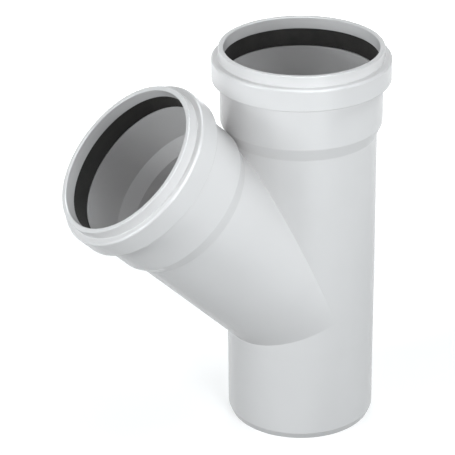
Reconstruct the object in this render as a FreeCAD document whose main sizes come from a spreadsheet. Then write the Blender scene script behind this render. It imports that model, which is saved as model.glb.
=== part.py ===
import FreeCAD, Part
import os
import Sketcher
from FreeCAD import Placement, Rotation, Vector

# Lateral wye fitting for 110 mm waste pipe: a straight run with one branch at 45 degrees.
# Sizes are in millimetres. The spigot end lies on z = 0 about the origin, the run stands
# along +Z and the branch leans towards -X. A depth is counted from a socket's mouth inwards.

SIZES = {
    # pipe and spigot
    "pipe_radius": 55.0,
    "pipe_wall": 3.4,
    "chamfer_length": 5.0,
    "chamfer_depth": 2.1,
    "spigot_length": 66.0,
    "swell_length": 6.0,
    "tube_swell": 0.15,
    # layout of the two centre lines
    "crossing_height": 96.0,
    "branch_angle": 45.0,
    "run_reach": 200.0,
    "branch_reach": 200.0,
    # socket, from the mouth inwards
    "mouth_clearance": 1.3,
    "mouth_chamfer": 0.6,
    "neck_wall": 3.7,
    "neck_length": 8.0,
    "socket_clearance": 0.6,
    "socket_wall": 3.6,
    "socket_depth": 54.5,
    "taper_length": 12.0,
    "shoulder_lag": 1.9,
    "shoulder_length": 9.7,
    # seal groove and the bead round it
    "groove_lip": 0.9,
    "groove_slope": 3.1,
    "groove_floor": 10.4,
    "groove_depth": 6.4,
    "bead_wall": 3.2,
    "bead_rear_wall": 2.1,
    "bead_rear_slope": 0.8,
    # rounded edges of the moulding
    "rim_round": 0.8,
    "step_round": 0.5,
    "bead_front_round": 1.8,
    "bead_rear_round": 1.2,
    "shoulder_round": 2.0,
    # rubber seal ring
    "seal_gap": 0.1,
    "seal_heel": 1.7,
    "seal_web": 6.0,
    "lip_root": 2.7,
    "lip_tip": 0.85,
    "lip_clearance": 0.45,
    "lip_setback": 0.5,
    "lip_round": 0.35,
    "slot_round": 0.6,
}

# radii, as sums of the driving sizes
PIPE = "Sizes.pipe_radius"
PIPE_BORE = f"{PIPE} - Sizes.pipe_wall"
TUBE = f"{PIPE} + Sizes.tube_swell"
MOUTH = f"{PIPE} + Sizes.mouth_clearance"
NECK = f"{MOUTH} + Sizes.neck_wall"
SOCKET_BORE = f"{PIPE} + Sizes.socket_clearance"
BARREL = f"{SOCKET_BORE} + Sizes.socket_wall"
GROOVE = f"{SOCKET_BORE} + Sizes.groove_depth"
BEAD = f"{GROOVE} + Sizes.bead_wall"

# depths from the mouth
NECK_END = "Sizes.neck_length"
GROOVE_START = f"{NECK_END} + Sizes.groove_lip"
GROOVE_FLOOR_START = f"{GROOVE_START} + Sizes.groove_slope"
GROOVE_END = f"{GROOVE_FLOOR_START} + Sizes.groove_floor"
BEAD_END = f"{GROOVE_END} + Sizes.bead_rear_wall"
BEAD_FOOT = f"{BEAD_END} + Sizes.bead_rear_slope"
SOCKET_END = "Sizes.socket_depth"
TAPER_END = f"{SOCKET_END} + Sizes.taper_length"
BARREL_END = f"{SOCKET_END} + Sizes.shoulder_lag"
SHOULDER_END = f"{BARREL_END} + Sizes.shoulder_length"

# heights of the two mouths: the run's above the spigot end, the branch's above the crossing
RUN_MOUTH = "Sizes.crossing_height + Sizes.run_reach"
BRANCH_MOUTH = "Sizes.branch_reach"


def make_sheet(doc):
    sheet = doc.addObject("Spreadsheet::Sheet", "Sizes")
    for row, (alias, value) in enumerate(SIZES.items(), start=1):
        sheet.set(f"A{row}", alias)
        sheet.set(f"B{row}", str(value))
        sheet.setAlias(f"B{row}", alias)
    doc.recompute()


def make_body(doc, label):
    body = doc.addObject("PartDesign::Body", label)
    body.Label = label
    return body


def lean_sketch(sketch):
    """Turns a sketch about the crossing of the centre lines until its upright runs along the branch."""
    sketch.AttachmentOffset = Placement(Vector(0, 1, 0), Rotation(Vector(0, 0, 1), 1))
    sketch.setExpression("AttachmentOffset.Base.y", "Sizes.crossing_height")
    sketch.setExpression("AttachmentOffset.Rotation.Angle", "Sizes.branch_angle")


def bind(sketch, constraint, expression):
    index = sketch.addConstraint(constraint)
    sketch.setExpression(f"Constraints[{index}]", expression)


def draw_half_section(body, name, corners):
    """Draws a closed outline on the body's XZ plane, ready to turn about its upright axis.

    A corner gives its radius, its height and its rounding as expressions, or no rounding.
    """
    sketch = body.newObject("Sketcher::SketchObject", name)
    upright = next(plane for plane in body.Origin.OriginFeatures if plane.Role == "XZ_Plane")
    sketch.AttachmentSupport = (upright, [""])
    sketch.MapMode = "FlatFace"
    places = [Vector(sketch.evalExpression(radius), sketch.evalExpression(height), 0)
              for radius, height, rounding in corners]
    count = len(corners)
    for side in range(count):
        sketch.addGeometry(Part.LineSegment(places[side], places[(side + 1) % count]), False)
    for side in range(count):
        sketch.addConstraint(Sketcher.Constraint("Coincident", side, 2, (side + 1) % count, 1))
    points = list(range(count))
    for corner, (radius, height, rounding) in enumerate(corners):
        if rounding:
            sketch.fillet(corner, 1, sketch.evalExpression(rounding), True, True)
            arc = sketch.GeometryCount - 2
            points[corner] = sketch.GeometryCount - 1
            bind(sketch, Sketcher.Constraint("Radius", arc, sketch.evalExpression(rounding)), rounding)
    for corner, (radius, height, rounding) in enumerate(corners):
        point = points[corner]
        if radius == "0":
            sketch.addConstraint(Sketcher.Constraint("PointOnObject", point, 1, -2))
        else:
            bind(sketch, Sketcher.Constraint("DistanceX", -1, 1, point, 1, places[corner].x), radius)
        if height == "0":
            sketch.addConstraint(Sketcher.Constraint("PointOnObject", point, 1, -1))
        else:
            bind(sketch, Sketcher.Constraint("DistanceY", -1, 1, point, 1, places[corner].y), height)
    return sketch


def turn(body, kind, name, sketch):
    feature = body.newObject(f"PartDesign::{kind}", name)
    feature.Profile = sketch
    feature.ReferenceAxis = (sketch, ["V_Axis"])
    feature.Angle = 360
    return feature


def socket_outside(mouth):
    """Outside of a socket, from the foot of its shoulder up to the middle of its mouth."""
    return [
        (TUBE, f"{mouth} - ({SHOULDER_END})", "Sizes.shoulder_round"),
        (BARREL, f"{mouth} - ({BARREL_END})", "Sizes.shoulder_round"),
        (BARREL, f"{mouth} - ({BEAD_FOOT})", "Sizes.step_round"),
        (BEAD, f"{mouth} - ({BEAD_END})", "Sizes.bead_rear_round"),
        (BEAD, f"{mouth} - {NECK_END}", "Sizes.bead_front_round"),
        (NECK, f"{mouth} - {NECK_END}", "Sizes.step_round"),
        (NECK, mouth, "Sizes.rim_round"),
        ("0", mouth, None),
    ]


def socket_inside(mouth):
    """Hollow of a socket, from the end of its taper up to the middle of its mouth."""
    return [
        (PIPE_BORE, f"{mouth} - ({TAPER_END})", None),
        (SOCKET_BORE, f"{mouth} - {SOCKET_END}", None),
        (SOCKET_BORE, f"{mouth} - ({GROOVE_END})", None),
        (GROOVE, f"{mouth} - ({GROOVE_END})", None),
        (GROOVE, f"{mouth} - ({GROOVE_FLOOR_START})", None),
        (MOUTH, f"{mouth} - ({GROOVE_START})", None),
        (MOUTH, f"{mouth} - Sizes.mouth_chamfer", None),
        (f"{MOUTH} + Sizes.mouth_chamfer", mouth, None),
        ("0", mouth, None),
    ]


def make_fitting(doc):
    """The moulded body: two solid turned forms joined, then bored along both centre lines.

    The spigot is sized to enter a socket, so it is a little slimmer than the tube above it.
    """
    body = make_body(doc, "fitting_body")
    spigot = [
        ("0", "0", None),
        (f"{PIPE} - Sizes.chamfer_depth", "0", None),
        (PIPE, "Sizes.chamfer_length", None),
        (PIPE, "Sizes.spigot_length", None),
        (TUBE, "Sizes.spigot_length + Sizes.swell_length", None),
    ]
    run = draw_half_section(body, "run_outside", spigot + socket_outside(RUN_MOUTH))
    turn(body, "Revolution", "run_form", run)
    stub = [("0", "0", None), (TUBE, "0", None)]
    branch = draw_half_section(body, "branch_outside", stub + socket_outside(BRANCH_MOUTH))
    lean_sketch(branch)
    turn(body, "Revolution", "branch_form", branch)
    bore = [("0", "0", None), (PIPE_BORE, "0", None)]
    run_hollow = draw_half_section(body, "run_inside", bore + socket_inside(RUN_MOUTH))
    turn(body, "Groove", "run_bore", run_hollow)
    branch_hollow = draw_half_section(body, "branch_inside", bore + socket_inside(BRANCH_MOUTH))
    lean_sketch(branch_hollow)
    turn(body, "Groove", "branch_bore", branch_hollow)
    return body


def make_seal(doc, label, reach):
    """A rubber ring that fills the front of the groove, with a lip that points down the socket."""
    body = make_body(doc, label)
    outer = f"{GROOVE} - Sizes.seal_gap"
    heel = f"{outer} - Sizes.seal_heel"
    lip = f"{PIPE} + Sizes.lip_clearance"
    web_end = f"{reach} - ({GROOVE_START} + Sizes.seal_web)"
    lip_end = f"{reach} - ({GROOVE_END} - Sizes.lip_setback)"
    section = draw_half_section(body, f"{label}_section", [
        (f"{MOUTH} - Sizes.seal_gap", f"{reach} - ({GROOVE_START} + Sizes.seal_gap)", None),
        (lip, lip_end, "Sizes.lip_round"),
        (f"{lip} + Sizes.lip_tip", lip_end, "Sizes.lip_round"),
        (f"{lip} + Sizes.lip_root", web_end, "Sizes.slot_round"),
        (heel, web_end, "Sizes.slot_round"),
        (heel, f"{reach} - ({GROOVE_END})", None),
        (outer, f"{reach} - ({GROOVE_END})", None),
        (outer, f"{reach} - ({GROOVE_FLOOR_START} + Sizes.seal_gap)", None),
    ])
    turn(body, "Revolution", f"{label}_ring", section)
    return body


def make_pieces(doc):
    fitting = make_fitting(doc)
    run_seal = make_seal(doc, "run_seal", "Sizes.run_reach")
    branch_seal = make_seal(doc, "branch_seal", "Sizes.branch_reach")
    for seal in (run_seal, branch_seal):
        seal.setExpression("Placement.Base.z", "Sizes.crossing_height")
    branch_seal.Placement = Placement(Vector(0, 0, 1), Rotation(Vector(0, -1, 0), 1))
    branch_seal.setExpression("Placement.Rotation.Angle", "Sizes.branch_angle")
    return [fitting, run_seal, branch_seal]


def check(doc, pieces):
    """Stops before anything is written if a feature failed, a cut removed nothing or a solid is bad."""
    for item in doc.Objects:
        if "Invalid" in item.State or "Error" in item.State:
            raise RuntimeError(f"{item.Name} failed: {item.State}")
        if item.TypeId == "PartDesign::Groove" and item.Shape.Volume >= item.BaseFeature.Shape.Volume:
            raise RuntimeError(f"{item.Name} cut nothing")
    for piece in pieces:
        if piece.Shape.isNull() or not piece.Shape.isValid() or len(piece.Shape.Solids) != 1:
            raise RuntimeError(f"{piece.Label} is not one valid solid")


def main():
    doc = FreeCAD.newDocument("lateral_wye_fitting")
    make_sheet(doc)
    pieces = make_pieces(doc)
    doc.recompute()
    check(doc, pieces)
    os.makedirs("parts", exist_ok=True)
    for piece in pieces:
        piece.Shape.exportStep(f"parts/{piece.Label}.step")


main()
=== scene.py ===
import math

import bmesh
import bpy
from mathutils import Matrix, Vector


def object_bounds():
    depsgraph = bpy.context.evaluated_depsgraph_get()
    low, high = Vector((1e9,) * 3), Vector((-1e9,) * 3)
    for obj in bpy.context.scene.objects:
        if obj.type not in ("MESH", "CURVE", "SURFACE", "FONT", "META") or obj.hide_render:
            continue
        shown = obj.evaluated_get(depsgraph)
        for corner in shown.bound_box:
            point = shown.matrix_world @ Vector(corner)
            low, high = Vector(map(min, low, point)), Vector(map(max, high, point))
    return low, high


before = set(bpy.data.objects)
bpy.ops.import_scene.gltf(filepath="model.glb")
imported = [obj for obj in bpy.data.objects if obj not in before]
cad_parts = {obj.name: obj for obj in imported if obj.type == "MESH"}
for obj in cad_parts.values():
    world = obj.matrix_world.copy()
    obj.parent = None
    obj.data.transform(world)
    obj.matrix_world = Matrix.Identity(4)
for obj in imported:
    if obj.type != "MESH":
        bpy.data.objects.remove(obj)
cad_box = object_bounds()

# camera, as fitted to the outline of the fitting; metres and degrees
PHOTO_WIDTH = 455
FOCAL_PIXELS = 2300.06
SENSOR_WIDTH = 36.0
CAMERA_AIM = Vector((-0.04492, 0.03196, 0.14699))
CAMERA_DISTANCE = 1.72042
CAMERA_AZIMUTH = -26.714
CAMERA_ELEVATION = 26.185
CAMERA_ROLL = -0.622

# studio; lengths in metres
FLOOR_SIZE = 12.0
FLOOR_SHADE = 0.10
FLOOR_SEEN_SHADE = 0.60
# the floor's glow at the nearer and at the further of these distances from the fitting
FLOOR_GLOW_REACH = (0.3, 0.7)
FLOOR_GLOW = (0.50, 0.92)
WORLD_STRENGTH = 0.15
LIGHT_COLOUR = (0.952, 1.0, 1.022)
LIGHT_AIM = Vector((-0.045, 0.0, 0.15))
# soft boxes: azimuth and elevation in degrees, distance and side in metres, power in watts
LAMPS = {
    "front_box": (0.0, 10.0, 0.7, 0.31, 3.4),
    "right_box": (60.0, 55.0, 2.4, 1.1, 17.5),
    "low_left_box": (-90.0, 15.0, 1.0, 0.4, 5.1),
    "left_box": (-90.0, 40.0, 2.4, 0.9, 9.8),
    "top_box": (0.0, 90.0, 2.4, 1.1, 7.2),
    "back_box": (152.0, 8.0, 2.4, 1.0, 39.0),
    "sheen_box": (-15.0, 58.0, 2.0, 1.8, 50.0),
    "back_sheen_box": (165.0, 62.0, 2.4, 1.2, 40.0),
}
# these only show as a gloss on the plastic
GLOSS_LAMPS = ("sheen_box", "back_sheen_box")
# this one shows in no gloss, because the far rims would mirror it at the camera
MATT_LAMP = "back_box"

# noises, as scale and detail, and the part of a noise's range that changes a colour or a value
CLOUDS = (14, 3)
WAVES = (45, 1)
SKIN = (900, 2)
BLOOM = (60, 3)
GRAIN = (1500, 3)
COLOUR_SPAN = (0.35, 0.65)
VALUE_SPAN = (0.3, 0.7)

# white plastic: linear colours, roughness, and the depth of its waves and skin in metres
WHITE_PLASTIC = (0.684, 0.670, 0.668)
WHITE_PLASTIC_DEEP = (0.665, 0.651, 0.649)
PLASTIC_ROUGHNESS = (0.235, 0.27)
PLASTIC_IOR = 1.53
WAVES_DEPTH = 0.00005
SKIN_DEPTH = 0.000003

# black rubber: linear colours, roughness, and the depth of its grain in metres
BLACK_RUBBER = (0.011, 0.010, 0.0092)
BLACK_RUBBER_BLOOM = (0.020, 0.0185, 0.017)
RUBBER_ROUGHNESS = (0.5, 0.7)
RUBBER_IOR = 1.5
RUBBER_SPECULAR = 0.3
GRAIN_DEPTH = 0.00002


def direction(azimuth, elevation):
    """From the object towards a viewer or a lamp; azimuth 0 stands on the -Y side."""
    a, e = math.radians(azimuth), math.radians(elevation)
    return Vector((math.sin(a) * math.cos(e), -math.cos(a) * math.cos(e), math.sin(e)))


def make_camera():
    back = direction(CAMERA_AZIMUTH, CAMERA_ELEVATION)
    azimuth, roll = math.radians(CAMERA_AZIMUTH), math.radians(CAMERA_ROLL)
    level = Vector((math.cos(azimuth), math.sin(azimuth), 0))
    rise = back.cross(level)
    right = math.cos(roll) * level + math.sin(roll) * rise
    up = math.cos(roll) * rise - math.sin(roll) * level
    turn = Matrix((right, up, back)).transposed().to_4x4()
    camera = bpy.data.objects.new("camera", bpy.data.cameras.new("camera"))
    bpy.context.scene.collection.objects.link(camera)
    camera.data.sensor_width = SENSOR_WIDTH
    camera.data.lens = FOCAL_PIXELS / PHOTO_WIDTH * SENSOR_WIDTH
    camera.matrix_world = Matrix.Translation(CAMERA_AIM + CAMERA_DISTANCE * back) @ turn
    bpy.context.scene.camera = camera


def new_material(name):
    material = bpy.data.materials.new(name)
    material.use_nodes = True
    tree = material.node_tree
    tree.nodes.clear()
    output = tree.nodes.new("ShaderNodeOutputMaterial")
    return material, tree, output


def seen_white(tree):
    """One for rays from the camera and for what reflections and clear pieces show, else nought."""
    ray = tree.nodes.new("ShaderNodeLightPath")
    seen = ray.outputs["Is Camera Ray"]
    for kind in ("Is Glossy Ray", "Is Transmission Ray"):
        either = tree.nodes.new("ShaderNodeMath")
        either.operation = "MAXIMUM"
        tree.links.new(seen, either.inputs[0])
        tree.links.new(ray.outputs[kind], either.inputs[1])
        seen = either.outputs[0]
    return seen


def diffuse(tree, shade):
    shader = tree.nodes.new("ShaderNodeBsdfDiffuse")
    shader.inputs["Color"].default_value = (shade, shade, shade, 1)
    return shader.outputs[0]


def make_floor():
    """A plain floor that looks white, glows more further off and keeps the fitting's shadow."""
    material, tree, output = new_material("pale_floor")
    # its glow is only seen, so no light is sampled from it
    material.cycles.emission_sampling = "NONE"
    where = tree.nodes.new("ShaderNodeTexCoord")
    reach = tree.nodes.new("ShaderNodeVectorMath")
    reach.operation = "LENGTH"
    tree.links.new(where.outputs["Object"], reach.inputs[0])
    glow = tree.nodes.new("ShaderNodeEmission")
    strength = spread(tree, reach.outputs["Value"], FLOOR_GLOW, FLOOR_GLOW_REACH)
    tree.links.new(strength, glow.inputs["Strength"])
    bright = tree.nodes.new("ShaderNodeAddShader")
    tree.links.new(diffuse(tree, FLOOR_SEEN_SHADE), bright.inputs[0])
    tree.links.new(glow.outputs[0], bright.inputs[1])
    choice = tree.nodes.new("ShaderNodeMixShader")
    tree.links.new(seen_white(tree), choice.inputs["Fac"])
    tree.links.new(diffuse(tree, FLOOR_SHADE), choice.inputs[1])
    tree.links.new(bright.outputs[0], choice.inputs[2])
    tree.links.new(choice.outputs[0], output.inputs["Surface"])
    sheet = bmesh.new()
    bmesh.ops.create_grid(sheet, x_segments=1, y_segments=1, size=FLOOR_SIZE / 2)
    bmesh.ops.translate(sheet, vec=(0, 0, cad_box[0].z), verts=sheet.verts)
    mesh = bpy.data.meshes.new("floor")
    sheet.to_mesh(mesh)
    sheet.free()
    mesh.materials.append(material)
    floor = bpy.data.objects.new("floor", mesh)
    bpy.context.scene.collection.objects.link(floor)


def make_world():
    """A dim, even room that looks white to the camera and in reflections."""
    world = bpy.data.worlds.new("studio")
    bpy.context.scene.world = world
    world.use_nodes = True
    world.cycles.sampling_method = "NONE"
    tree = world.node_tree
    tree.nodes.clear()
    output = tree.nodes.new("ShaderNodeOutputWorld")
    room = tree.nodes.new("ShaderNodeBackground")
    room.inputs["Color"].default_value = (*LIGHT_COLOUR, 1)
    room.inputs["Strength"].default_value = WORLD_STRENGTH
    white = tree.nodes.new("ShaderNodeBackground")
    white.inputs["Color"].default_value = (1, 1, 1, 1)
    choice = tree.nodes.new("ShaderNodeMixShader")
    tree.links.new(seen_white(tree), choice.inputs["Fac"])
    tree.links.new(room.outputs[0], choice.inputs[1])
    tree.links.new(white.outputs[0], choice.inputs[2])
    tree.links.new(choice.outputs[0], output.inputs["Surface"])


def make_lamps():
    for name, (azimuth, elevation, distance, side, power) in LAMPS.items():
        lamp = bpy.data.lights.new(name, "AREA")
        lamp.shape = "SQUARE"
        lamp.size = side
        lamp.color = LIGHT_COLOUR
        lamp.energy = power
        box = bpy.data.objects.new(name, lamp)
        towards = direction(azimuth, elevation)
        box.location = LIGHT_AIM + distance * towards
        box.rotation_mode = "QUATERNION"
        box.rotation_quaternion = towards.to_track_quat("Z", "Y")
        box.visible_diffuse = name not in GLOSS_LAMPS
        box.visible_glossy = name != MATT_LAMP
        bpy.context.scene.collection.objects.link(box)


def noise(tree, coordinates, scale, detail):
    texture = tree.nodes.new("ShaderNodeTexNoise")
    texture.inputs["Scale"].default_value = scale
    texture.inputs["Detail"].default_value = detail
    tree.links.new(coordinates.outputs["Object"], texture.inputs["Vector"])
    return texture.outputs["Fac"]


def blend_colours(tree, fac, first, second):
    ramp = tree.nodes.new("ShaderNodeValToRGB")
    for stop, position, colour in zip(ramp.color_ramp.elements, COLOUR_SPAN, (first, second)):
        stop.position = position
        stop.color = (*colour, 1)
    tree.links.new(fac, ramp.inputs["Fac"])
    return ramp.outputs["Color"]


def spread(tree, value, results, span=VALUE_SPAN):
    """Goes from the first result to the second while the value crosses the span."""
    scale = tree.nodes.new("ShaderNodeMapRange")
    scale.inputs["From Min"].default_value, scale.inputs["From Max"].default_value = span
    scale.inputs["To Min"].default_value, scale.inputs["To Max"].default_value = results
    tree.links.new(value, scale.inputs["Value"])
    return scale.outputs["Result"]


def bump(tree, height, depth, below=None):
    node = tree.nodes.new("ShaderNodeBump")
    node.inputs["Distance"].default_value = depth
    tree.links.new(height, node.inputs["Height"])
    if below is not None:
        tree.links.new(below, node.inputs["Normal"])
    return node.outputs["Normal"]


def moulded_plastic():
    """Satin white polymer: a faint cloudiness, a fine moulded skin and a slow waviness."""
    material, tree, output = new_material("white_moulded_plastic")
    where = tree.nodes.new("ShaderNodeTexCoord")
    clouds = noise(tree, where, *CLOUDS)
    skin = noise(tree, where, *SKIN)
    waves = noise(tree, where, *WAVES)
    shader = tree.nodes.new("ShaderNodeBsdfPrincipled")
    colour = blend_colours(tree, clouds, WHITE_PLASTIC_DEEP, WHITE_PLASTIC)
    tree.links.new(colour, shader.inputs["Base Color"])
    tree.links.new(spread(tree, waves, PLASTIC_ROUGHNESS), shader.inputs["Roughness"])
    shader.inputs["IOR"].default_value = PLASTIC_IOR
    waviness = bump(tree, waves, WAVES_DEPTH)
    tree.links.new(bump(tree, skin, SKIN_DEPTH, waviness), shader.inputs["Normal"])
    tree.links.new(shader.outputs[0], output.inputs["Surface"])
    return material


def seal_rubber():
    """Matt black rubber with a slight grey bloom and a fine grain."""
    material, tree, output = new_material("black_seal_rubber")
    where = tree.nodes.new("ShaderNodeTexCoord")
    bloom = noise(tree, where, *BLOOM)
    grain = noise(tree, where, *GRAIN)
    shader = tree.nodes.new("ShaderNodeBsdfPrincipled")
    colour = blend_colours(tree, bloom, BLACK_RUBBER, BLACK_RUBBER_BLOOM)
    tree.links.new(colour, shader.inputs["Base Color"])
    tree.links.new(spread(tree, grain, RUBBER_ROUGHNESS), shader.inputs["Roughness"])
    shader.inputs["IOR"].default_value = RUBBER_IOR
    shader.inputs["Specular IOR Level"].default_value = RUBBER_SPECULAR
    tree.links.new(bump(tree, grain, GRAIN_DEPTH), shader.inputs["Normal"])
    tree.links.new(shader.outputs[0], output.inputs["Surface"])
    return material


def dress(node, material):
    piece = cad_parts[node]
    piece.data.materials.clear()
    piece.data.materials.append(material)


def main():
    make_camera()
    make_floor()
    make_world()
    make_lamps()
    plastic, rubber = moulded_plastic(), seal_rubber()
    dress("fitting_body", plastic)
    dress("run_seal", rubber)
    dress("branch_seal", rubber)
    bpy.context.scene.view_settings.view_transform = "Standard"


main()
